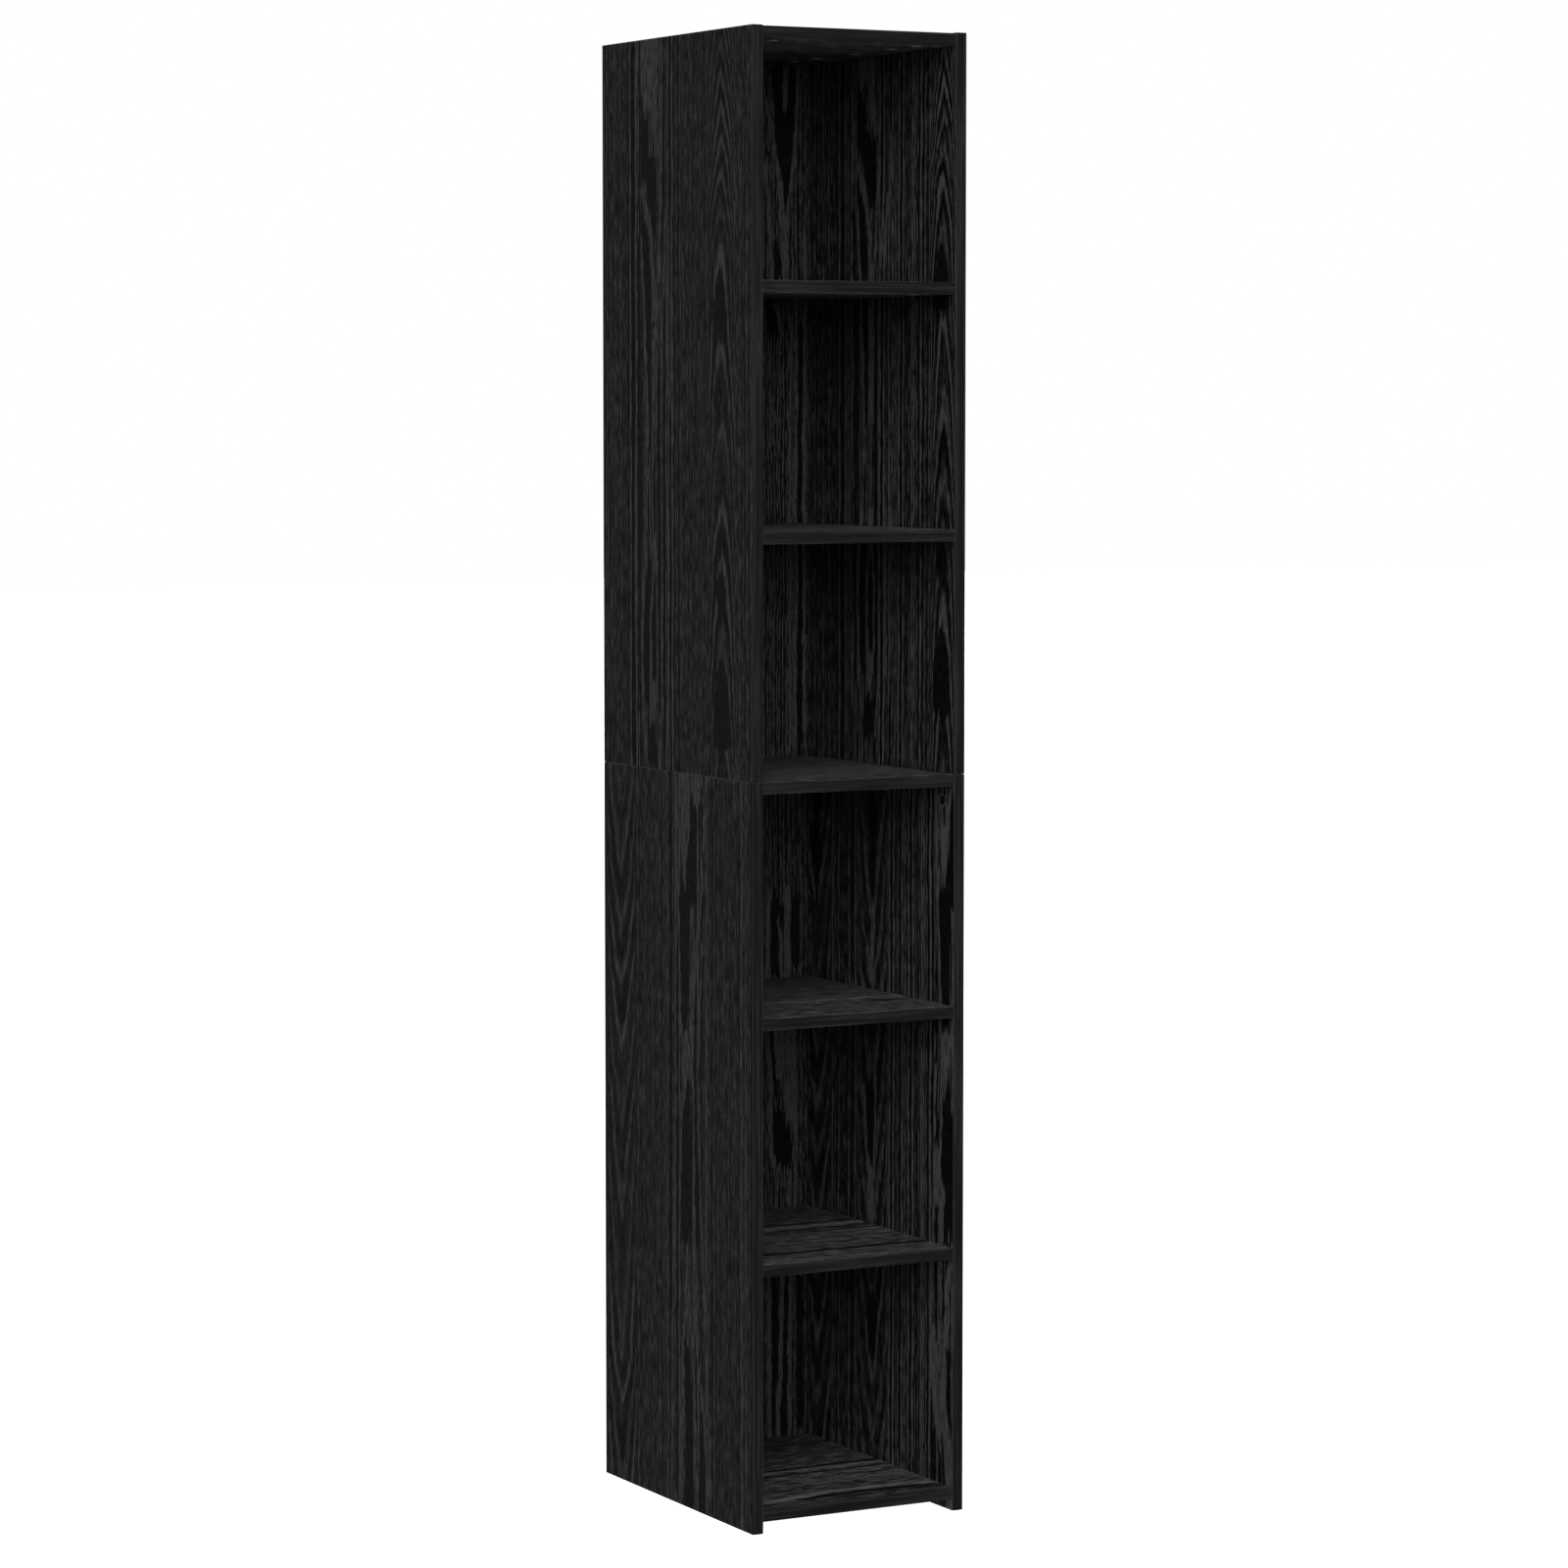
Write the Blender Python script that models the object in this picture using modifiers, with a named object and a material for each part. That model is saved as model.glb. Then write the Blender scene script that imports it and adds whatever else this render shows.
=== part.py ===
"""Open highboard: two stacked carcass modules of 15 mm board, with their cam fittings.

Metres, +Z up. The origin is the centre of the footprint, on the floor.
The open front faces -Y, the width runs along X.
"""

import math

import bmesh
import bpy
from mathutils import Matrix, Vector

# ---------------------------------------------------------------- dimensions
WIDTH = 0.300
DEPTH = 0.410
HEIGHT = 1.850
BOARD = 0.015  # thickness of every board
GAP = 0.0003  # clearance between touching pieces
ROUND = 0.0008  # edge rounding of the edge banding

FLOOR_CLEARANCE = 0.015  # under the bottom board
SEAM = 0.932  # top of the lower module
LOWER_SHELVES = (0.3205, 0.6260)  # undersides
UPPER_SHELVES = (1.2225, 1.5280)
TOP_DROP = 0.001  # the top board lies this much below the sides' top edges
REAR_DROP = 0.016  # bottom, middle and top board end this far before the sides' rear edges

BACK_FROM_FRONT = 0.375  # front face of the back panels
BACK = 0.003  # thickness of the back panels
GROOVE = 0.006  # depth of the groove that holds them
SEAM_GROOVE = 0.003  # depth of the groove in the middle board's upper face

# Rows of cam fittings, as distances from the front edge
FULL_ROW = (0.037, 0.101, 0.197, 0.293, 0.357)
END_ROW = (0.037, 0.357)
MIDDLE_ROW = (0.101, 0.293)  # clear of the fittings of the module joint
SEAM_ROW = (0.030, 0.345)

CAM_R = 0.0075  # bore of a cam fitting
CAM_DEPTH = 0.012
CAM_LENGTH = 0.0115
CAM_RECESS = 0.0002  # the cam's face lies this far below the board's face
CAM_INSET = 0.034  # cam centre to the joint
CAM_BODY_R = CAM_R - GAP
SHANK_R = 0.0035
BOLT_BORE_R = 0.004
THREAD_R = 0.0028
THREAD_BORE_R = THREAD_R + GAP
THREAD_DEPTH = 0.0110

SIDES = 8  # facets of a bolt and its bore
CAM_SIDES = 16

# ------------------------------------------------------------ derived planes
FRONT = -DEPTH / 2
REAR = DEPTH / 2
INNER = WIDTH / 2 - BOARD  # inner face of a side panel
BOARD_END = INNER - GAP
BOTTOM_BOARD = FLOOR_CLEARANCE
MIDDLE_BOARD = SEAM - BOARD
TOP_BOARD = HEIGHT - TOP_DROP - BOARD
BACK_FRONT = FRONT + BACK_FROM_FRONT
BACK_REAR = BACK_FRONT + BACK
BOARD_REAR = REAR - REAR_DROP
SHELF_REAR = BACK_FRONT - GAP

X, Y, Z = Vector((1, 0, 0)), Vector((0, 1, 0)), Vector((0, 0, 1))


# --------------------------------------------------------------------- scene
for old in list(bpy.data.objects):
    bpy.data.objects.remove(old, do_unlink=True)

scene = bpy.context.scene
parts = bpy.data.collections.new("highboard")
cutters = bpy.data.collections.new("highboard_cutters")
scene.collection.children.link(parts)
scene.collection.children.link(cutters)
cutters.hide_render = True


def empty(name, location, parent=None):
    obj = bpy.data.objects.new(name, None)
    obj.empty_display_size = 0.05
    obj.parent = parent
    obj.location = location
    parts.objects.link(obj)
    return obj


highboard = empty("highboard_origin", (0, 0, 0))
lower = empty("lower_module", (0, 0, 0), highboard)
upper = empty("upper_module", (0, 0, SEAM), highboard)


def material(name, colour, roughness, metallic=0.0):
    mat = bpy.data.materials.new(name)
    mat.use_nodes = True
    mat.diffuse_color = (*colour, 1)
    shader = mat.node_tree.nodes["Principled BSDF"]
    shader.inputs["Base Color"].default_value = (*colour, 1)
    shader.inputs["Roughness"].default_value = roughness
    shader.inputs["Metallic"].default_value = metallic
    return mat


def black_oak(name, shade=1.0):
    return material(name, (0.014 * shade, 0.0135 * shade, 0.013 * shade), 0.5)


zinc = (0.55, 0.55, 0.53)


def add(name, mesh, mat, module, location, rotation=None):
    """Links an object that uses this mesh, at a place given in world space."""
    obj = bpy.data.objects.new(name, mesh)
    if not mesh.materials:
        mesh.materials.append(mat)
    obj.parent = module
    obj.location = Vector(location) - module.location
    if rotation is not None:
        obj.rotation_euler = rotation.to_euler()
    parts.objects.link(obj)
    obj.material_slots[0].link = "OBJECT"
    obj.material_slots[0].material = mat
    return obj


def turned(axis):
    """The rotation that takes +Z to this axis."""
    return Z.rotation_difference(axis).to_matrix().to_4x4()


def frame(normal, along):
    """The rotation that takes +Z to normal and +X to along."""
    return Matrix((along, normal.cross(along), normal)).transposed().to_4x4()


# -------------------------------------------------------------------- panels
def panel(name, low, high, mat, module, rounded):
    """A board between two corners. rounded says which of its edges are rounded: it takes the middle of an edge,
    from -1 to 1 across the board on each axis."""
    low, high = Vector(low), Vector(high)
    size, centre = high - low, (high + low) / 2
    bm = bmesh.new()
    bmesh.ops.create_cube(bm, size=1.0)
    bmesh.ops.scale(bm, vec=size, verts=bm.verts)
    weight = bm.edges.layers.float.new("bevel_weight_edge")
    for edge in bm.edges:
        middle = (edge.verts[0].co + edge.verts[1].co) / 2
        middle = Vector((middle.x / size.x, middle.y / size.y, middle.z / size.z)) * 2
        edge[weight] = 1.0 if rounded(middle) else 0.0
    mesh = bpy.data.meshes.new(name)
    bm.to_mesh(mesh)
    bm.free()
    obj = add(name, mesh, mat, module, centre)
    bevel = obj.modifiers.new("edge_banding", "BEVEL")
    bevel.limit_method = "WEIGHT"
    bevel.width = ROUND
    bevel.segments = 2
    return obj


def all_edges(_middle):
    return True


def front_edges(middle):
    """The two long edges at the open front."""
    return middle.y < -0.9 and abs(middle.z) > 0.9


def no_edges(_middle):
    return False


class Cuts:
    """Cutters for one piece: bores and grooves that don't touch one another share one mesh."""

    def __init__(self, target):
        self.target = target
        self.groups = {}

    def _mesh(self, group):
        return self.groups.setdefault(group, bmesh.new())

    def bore(self, group, mouth, axis, radius, depth, sides=SIDES):
        """A round hole from the mouth along the axis, with its cutter standing 1 mm out of the mouth."""
        axis = Vector(axis).normalized()
        length = depth + 0.001
        centre = Vector(mouth) + axis * (depth - length / 2)
        bmesh.ops.create_cone(
            self._mesh(group),
            cap_ends=True,
            segments=sides,
            radius1=radius,
            radius2=radius,
            depth=length,
            matrix=Matrix.Translation(centre) @ turned(axis),
        )

    def box(self, group, low, high):
        low, high = Vector(low), Vector(high)
        size = high - low
        bmesh.ops.create_cube(
            self._mesh(group),
            size=1.0,
            matrix=Matrix.Translation((low + high) / 2) @ Matrix.Diagonal((*size, 1)),
        )

    def apply(self):
        for group, bm in self.groups.items():
            name = f"{self.target.name}_{group}"
            mesh = bpy.data.meshes.new(name)
            bmesh.ops.recalc_face_normals(bm, faces=bm.faces)
            bm.to_mesh(mesh)
            bm.free()
            cutter = bpy.data.objects.new(name, mesh)
            cutter.hide_render = True
            cutter.display_type = "WIRE"
            cutters.objects.link(cutter)
            cut = self.target.modifiers.new(group, "BOOLEAN")
            cut.operation = "DIFFERENCE"
            cut.solver = "EXACT"
            cut.object = cutter


boards = {}


def side(name, sign, low, high, module):
    inner, outer = sign * INNER, sign * WIDTH / 2
    obj = panel(
        name,
        (min(inner, outer), FRONT, low),
        (max(inner, outer), REAR, high),
        black_oak(name + "_finish"),
        module,
        all_edges,
    )
    cuts = boards[name] = Cuts(obj)
    # The groove for the back panel runs through the whole height.
    depth = sign * (INNER + GROOVE)
    mouth = sign * (INNER - 0.001)
    cuts.box(
        "groove",
        (min(mouth, depth), BACK_FRONT - GAP, low - 0.001),
        (max(mouth, depth), BACK_REAR + GAP, high + 0.001),
    )


def board(name, underside, module, rear):
    obj = panel(
        name,
        (-BOARD_END, FRONT, underside),
        (BOARD_END, rear, underside + BOARD),
        black_oak(name + "_finish", 1.3),
        module,
        front_edges,
    )
    boards[name] = Cuts(obj)


for label, sign in (("left", -1), ("right", 1)):
    side(f"lower_side_{label}", sign, 0.0, SEAM, lower)
    side(f"upper_side_{label}", sign, SEAM + GAP, HEIGHT, upper)

board("bottom_board", BOTTOM_BOARD, lower, BOARD_REAR)
board("middle_board", MIDDLE_BOARD, lower, BOARD_REAR)
board("top_board", TOP_BOARD, upper, BOARD_REAR)
for number, underside in enumerate(LOWER_SHELVES, 1):
    board(f"lower_shelf_{number}", underside, lower, SHELF_REAR)
for number, underside in enumerate(UPPER_SHELVES, 1):
    board(f"upper_shelf_{number}", underside, upper, SHELF_REAR)

for name, z_low, z_high in (
    ("bottom_board", BOTTOM_BOARD + BOARD - GROOVE, BOTTOM_BOARD + BOARD + 0.001),
    ("middle_board", MIDDLE_BOARD - 0.001, MIDDLE_BOARD + GROOVE),
    ("middle_board", SEAM - SEAM_GROOVE, SEAM + 0.001),
    ("top_board", TOP_BOARD - 0.001, TOP_BOARD + GROOVE),
):
    boards[name].box(
        "groove",
        (-BOARD_END - 0.001, BACK_FRONT - GAP, z_low),
        (BOARD_END + 0.001, BACK_REAR + GAP, z_high),
    )

BACK_HALF = INNER + GROOVE - GAP
panel(
    "lower_back_panel",
    (-BACK_HALF, BACK_FRONT, BOTTOM_BOARD + BOARD - GROOVE + GAP),
    (BACK_HALF, BACK_REAR, MIDDLE_BOARD + GROOVE - GAP),
    black_oak("lower_back_panel_finish", 0.7),
    lower,
    no_edges,
)
panel(
    "upper_back_panel",
    (-BACK_HALF, BACK_FRONT, SEAM - SEAM_GROOVE + GAP),
    (BACK_HALF, BACK_REAR, TOP_BOARD + GROOVE - GAP),
    black_oak("upper_back_panel_finish", 0.7),
    upper,
    no_edges,
)


# ------------------------------------------------------------------ fittings
def baked(obj):
    """The mesh of an object after its modifiers, with the object itself removed."""
    graph = bpy.context.evaluated_depsgraph_get()
    mesh = bpy.data.meshes.new_from_object(obj.evaluated_get(graph))
    mesh.name = obj.name + "_mesh"
    bpy.data.objects.remove(obj, do_unlink=True)
    return mesh


def make_bolt():
    """Cam bolt, turned about +Z. Height 0 is the cam's centre, and the joint is CAM_INSET above it."""
    profile = [
        (0, CAM_INSET + THREAD_DEPTH - GAP),
        (THREAD_R * 0.55, CAM_INSET + THREAD_DEPTH - GAP),
        (THREAD_R, CAM_INSET + THREAD_DEPTH - 0.0016),
        (THREAD_R, CAM_INSET),
        (SHANK_R, CAM_INSET - 0.0006),
        (SHANK_R, 0.0030),
        (0, 0.0030),
    ]
    bm = bmesh.new()
    points = [bm.verts.new((r, 0, z)) for r, z in profile]
    for first, second in zip(points, points[1:]):
        bm.edges.new((first, second))
    mesh = bpy.data.meshes.new("bolt")
    bm.to_mesh(mesh)
    bm.free()
    bolt = bpy.data.objects.new("bolt", mesh)
    parts.objects.link(bolt)
    screw = bolt.modifiers.new("turn", "SCREW")
    screw.steps = screw.render_steps = SIDES
    screw.use_merge_vertices = True
    screw.merge_threshold = 0.00005
    return baked(bolt)


def make_fitting():
    """Cam fitting, locked: the cam with its face just below height 0 and a cross slot in it, and the bolt that it
    holds, which points along +X in the middle of the board."""
    face, foot = -CAM_RECESS, -CAM_RECESS - CAM_LENGTH
    bm = bmesh.new()
    bmesh.ops.create_cone(
        bm,
        cap_ends=True,
        segments=CAM_SIDES,
        radius1=CAM_BODY_R,
        radius2=CAM_BODY_R,
        depth=face - foot,
        matrix=Matrix.Translation((0, 0, (face + foot) / 2)),
    )
    mesh = bpy.data.meshes.new("cam")
    bm.to_mesh(mesh)
    bm.free()
    cam = bpy.data.objects.new("cam", mesh)
    parts.objects.link(cam)
    cuts = Cuts(cam)
    cuts.box("slot_1", (-0.0035, -0.0009, face - 0.0016), (0.0035, 0.0009, 0.001))
    cuts.box("slot_2", (-0.0009, -0.0035, face - 0.0017), (0.0009, 0.0035, 0.001))
    cuts.apply()
    bolt = bpy.data.objects.new("cam_with_bolt", make_bolt())
    bolt.matrix_world = Matrix.Translation((0, 0, -BOARD / 2)) @ turned(X)
    cutters.objects.link(bolt)
    join = cam.modifiers.new("bolt", "BOOLEAN")
    join.operation = "UNION"
    join.solver = "EXACT"
    join.object = bolt
    made = baked(cam)
    made.materials.clear()
    for helper in [o for o in cutters.objects if o.name.startswith("cam_")]:
        bpy.data.objects.remove(helper, do_unlink=True)
    made.shade_smooth()
    made.set_sharp_from_angle(angle=math.radians(40))
    return made


fitting_mesh = make_fitting()


def fitting(name, centre, normal, along, host, neighbour, module):
    """A cam fitting in one board's face, with its bolt through that board's end into the neighbour. centre is on the
    face, normal points out of it, and along points at the joint."""
    centre, normal, along = Vector(centre), Vector(normal), Vector(along)
    joint = centre - normal * (BOARD / 2) + along * CAM_INSET
    boards[host].bore("cams", centre, -normal, CAM_R, CAM_DEPTH, CAM_SIDES)
    boards[host].bore("bolts", joint, -along, BOLT_BORE_R, CAM_INSET)
    boards[neighbour].bore(
        "threads", joint + along * GAP, along, THREAD_BORE_R, THREAD_DEPTH
    )
    add(
        name,
        fitting_mesh,
        material(name + "_zinc", zinc, 0.4, 1.0),
        module,
        centre,
        frame(normal, along),
    )


rows = [
    ("bottom_board", BOTTOM_BOARD, END_ROW, "lower", lower),
    ("lower_shelf_1", LOWER_SHELVES[0], END_ROW, "lower", lower),
    ("lower_shelf_2", LOWER_SHELVES[1], END_ROW, "lower", lower),
    ("middle_board", MIDDLE_BOARD, MIDDLE_ROW, "lower", lower),
    ("upper_shelf_1", UPPER_SHELVES[0], END_ROW, "upper", upper),
    ("upper_shelf_2", UPPER_SHELVES[1], FULL_ROW, "upper", upper),
    ("top_board", TOP_BOARD, FULL_ROW, "upper", upper),
]
for label, sign in (("left", -1), ("right", 1)):
    out = X * sign
    # Under each board, at both ends
    for host, underside, row, word, module in rows:
        for number, y in enumerate(row, 1):
            fitting(
                f"{host}_fitting_{number}_{label}",
                (sign * (BOARD_END - CAM_INSET), FRONT + y, underside),
                -Z,
                out,
                host,
                f"{word}_side_{label}",
                module,
            )
    # In the lower sides' inner faces, up into the upper sides
    for place, y in zip(("front", "rear"), SEAM_ROW):
        fitting(
            f"seam_fitting_{place}_{label}",
            (sign * INNER, FRONT + y, SEAM - CAM_INSET),
            -out,
            Z,
            f"lower_side_{label}",
            f"upper_side_{label}",
            lower,
        )

for cuts in boards.values():
    cuts.apply()
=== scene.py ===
import math

import bpy
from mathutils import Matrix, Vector

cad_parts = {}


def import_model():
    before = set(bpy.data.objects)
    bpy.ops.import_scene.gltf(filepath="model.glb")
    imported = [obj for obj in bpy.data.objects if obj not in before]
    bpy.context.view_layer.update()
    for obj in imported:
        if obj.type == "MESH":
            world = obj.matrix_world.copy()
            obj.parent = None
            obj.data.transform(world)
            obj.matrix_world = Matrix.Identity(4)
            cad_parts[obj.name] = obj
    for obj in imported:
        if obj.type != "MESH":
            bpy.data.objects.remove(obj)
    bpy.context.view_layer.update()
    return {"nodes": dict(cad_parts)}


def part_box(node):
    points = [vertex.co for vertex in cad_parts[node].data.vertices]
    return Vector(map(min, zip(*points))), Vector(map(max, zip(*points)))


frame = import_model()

nodes = frame["nodes"]
scene = bpy.context.scene

FRONT = -0.205  # y of the open front


# ------------------------------------------------------------------ shader kit
class Graph:
    """A material's nodes. Every call adds a node and gives its output socket."""

    def __init__(self, name):
        self.material = bpy.data.materials.new(name)
        self.material.use_nodes = True
        self.tree = self.material.node_tree
        self.shader = self.tree.nodes["Principled BSDF"]
        place = self.tree.nodes.new("ShaderNodeTexCoord")
        split = self.tree.nodes.new("ShaderNodeSeparateXYZ")
        self.tree.links.new(place.outputs["Object"], split.inputs[0])
        self.x, self.y, self.z = split.outputs

    def _put(self, socket, value):
        if value is None:
            return
        if isinstance(value, bpy.types.NodeSocket):
            self.tree.links.new(value, socket)
        else:
            socket.default_value = value

    def math(self, operation, *values, clamp=False):
        node = self.tree.nodes.new("ShaderNodeMath")
        node.operation = operation
        node.use_clamp = clamp
        for socket, value in zip(node.inputs, values):
            self._put(socket, value)
        return node.outputs[0]

    def add(self, a, b):
        return self.math("ADD", a, b)

    def sub(self, a, b):
        return self.math("SUBTRACT", a, b)

    def mul(self, a, b):
        return self.math("MULTIPLY", a, b)

    def least(self, a, b):
        return self.math("MINIMUM", a, b)

    def most(self, a, b):
        return self.math("MAXIMUM", a, b)

    def fma(self, a, b, c):
        return self.math("MULTIPLY_ADD", a, b, c)

    def mix(self, t, a, b):
        """a where t is 0, b where t is 1."""
        return self.fma(t, self.sub(b, a), a)

    def step(self, value, low, high, at_low=0.0, at_high=1.0):
        """A smooth step between low and high."""
        node = self.tree.nodes.new("ShaderNodeMapRange")
        node.interpolation_type = "SMOOTHSTEP"
        for socket, given in zip(node.inputs, (value, low, high, at_low, at_high)):
            self._put(socket, given)
        return node.outputs[0]

    def line(self, value, seed, scale, detail=2.0, roughness=0.5):
        """Noise along one number, about 0.5."""
        node = self.tree.nodes.new("ShaderNodeTexNoise")
        node.noise_dimensions = "1D"
        self._put(node.inputs["W"], self.fma(value, scale, float(seed)))
        node.inputs["Scale"].default_value = 1.0
        node.inputs["Detail"].default_value = detail
        node.inputs["Roughness"].default_value = roughness
        return node.outputs["Fac"]

    def grain(self, u, v, w, seed, across, along, detail=2.0, roughness=0.5):
        """Noise with its own scale across the grain, along it and through the board, about 0.5."""
        join = self.tree.nodes.new("ShaderNodeCombineXYZ")
        self._put(join.inputs[0], self.fma(u, across, float(seed)))
        self._put(join.inputs[1], self.fma(v, along, float(seed) * 0.37))
        self._put(join.inputs[2], self.mul(w, across * 0.6))
        node = self.tree.nodes.new("ShaderNodeTexNoise")
        self.tree.links.new(join.outputs[0], node.inputs["Vector"])
        node.inputs["Scale"].default_value = 1.0
        node.inputs["Detail"].default_value = detail
        node.inputs["Roughness"].default_value = roughness
        return node.outputs["Fac"]

    def curve(self, value, points):
        """A line through (input, output) points, straight between them."""
        low, high = points[0][0], points[-1][0]
        bottom = min(p[1] for p in points)
        top = max(max(p[1] for p in points), bottom + 1e-6)
        node = self.tree.nodes.new("ShaderNodeFloatCurve")
        path = node.mapping.curves[0]
        scaled = [((a - low) / (high - low), (b - bottom) / (top - bottom)) for a, b in points]
        path.points[0].location, path.points[1].location = scaled[0], scaled[-1]
        for inner in scaled[1:-1]:
            path.points.new(*inner)
        for point in path.points:
            point.handle_type = "VECTOR"
        node.mapping.update()
        self._put(node.inputs["Value"], self.math("DIVIDE", self.sub(value, low), high - low, clamp=True))
        return self.fma(node.outputs[0], top - bottom, bottom)

    def ramp(self, value, stops):
        """A grey or a colour for each value from 0 to 1."""
        node = self.tree.nodes.new("ShaderNodeValToRGB")
        ramp = node.color_ramp
        while len(ramp.elements) < len(stops):
            ramp.elements.new(0.5)
        for element, (at, tone) in zip(ramp.elements, stops):
            element.position = at
            element.color = (*tone, 1) if isinstance(tone, tuple) else (tone, tone, tone, 1)
        self._put(node.inputs[0], value)
        return node.outputs[0]

    def blend(self, t, a, b):
        """Colour a where t is 0, b where t is 1."""
        node = self.tree.nodes.new("ShaderNodeMix")
        node.data_type = "RGBA"
        self._put(node.inputs[0], t)
        self._put(node.inputs[6], a)
        self._put(node.inputs[7], b)
        return node.outputs[2]

    def bump(self, height, strength, distance):
        node = self.tree.nodes.new("ShaderNodeBump")
        node.inputs["Strength"].default_value = strength
        node.inputs["Distance"].default_value = distance
        self._put(node.inputs["Height"], height)
        self.tree.links.new(node.outputs[0], self.shader.inputs["Normal"])

    def colour(self, socket):
        self.tree.links.new(socket, self.shader.inputs["Base Color"])

    def rough(self, socket):
        self.tree.links.new(socket, self.shader.inputs["Roughness"])

    def edge_distance(self, low, high):
        """How far a point of a box's surface is from the nearest edge: the middle one of its distances to the three
        pairs of faces."""
        a, b, c = (
            self.least(self.sub(p, l), self.sub(h, p))
            for p, l, h in zip((self.x, self.y, self.z), low, high)
        )
        return self.most(self.least(a, b), self.least(self.most(a, b), c))


# ------------------------------------------------------------- black oak decor
# Tones of the decor, from the dark pores to the light lines of the grain
TONES = ((0.0, 0.0006), (0.2, 0.0036), (0.5, 0.0160), (0.76, 0.0350), (1.0, 0.0640))


def shapes(g, u, v, figures):
    """How far inside the nearest of several long shapes a point is, in metres. Each is a row of (place along the grain,
    place across it, half width), and closes just past its ends."""
    inside = None
    for figure in figures:
        row = sorted(figure)
        row = [(row[0][0] - 0.014, row[0][1], -0.008)] + row + [(row[-1][0] + 0.014, row[-1][1], -0.008)]
        off = g.math("ABSOLUTE", g.sub(u, g.curve(v, [(p[0], p[1]) for p in row])))
        depth = g.sub(g.curve(v, [(p[0], p[2]) for p in row]), off)
        inside = depth if inside is None else g.most(inside, depth)
    return inside


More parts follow.
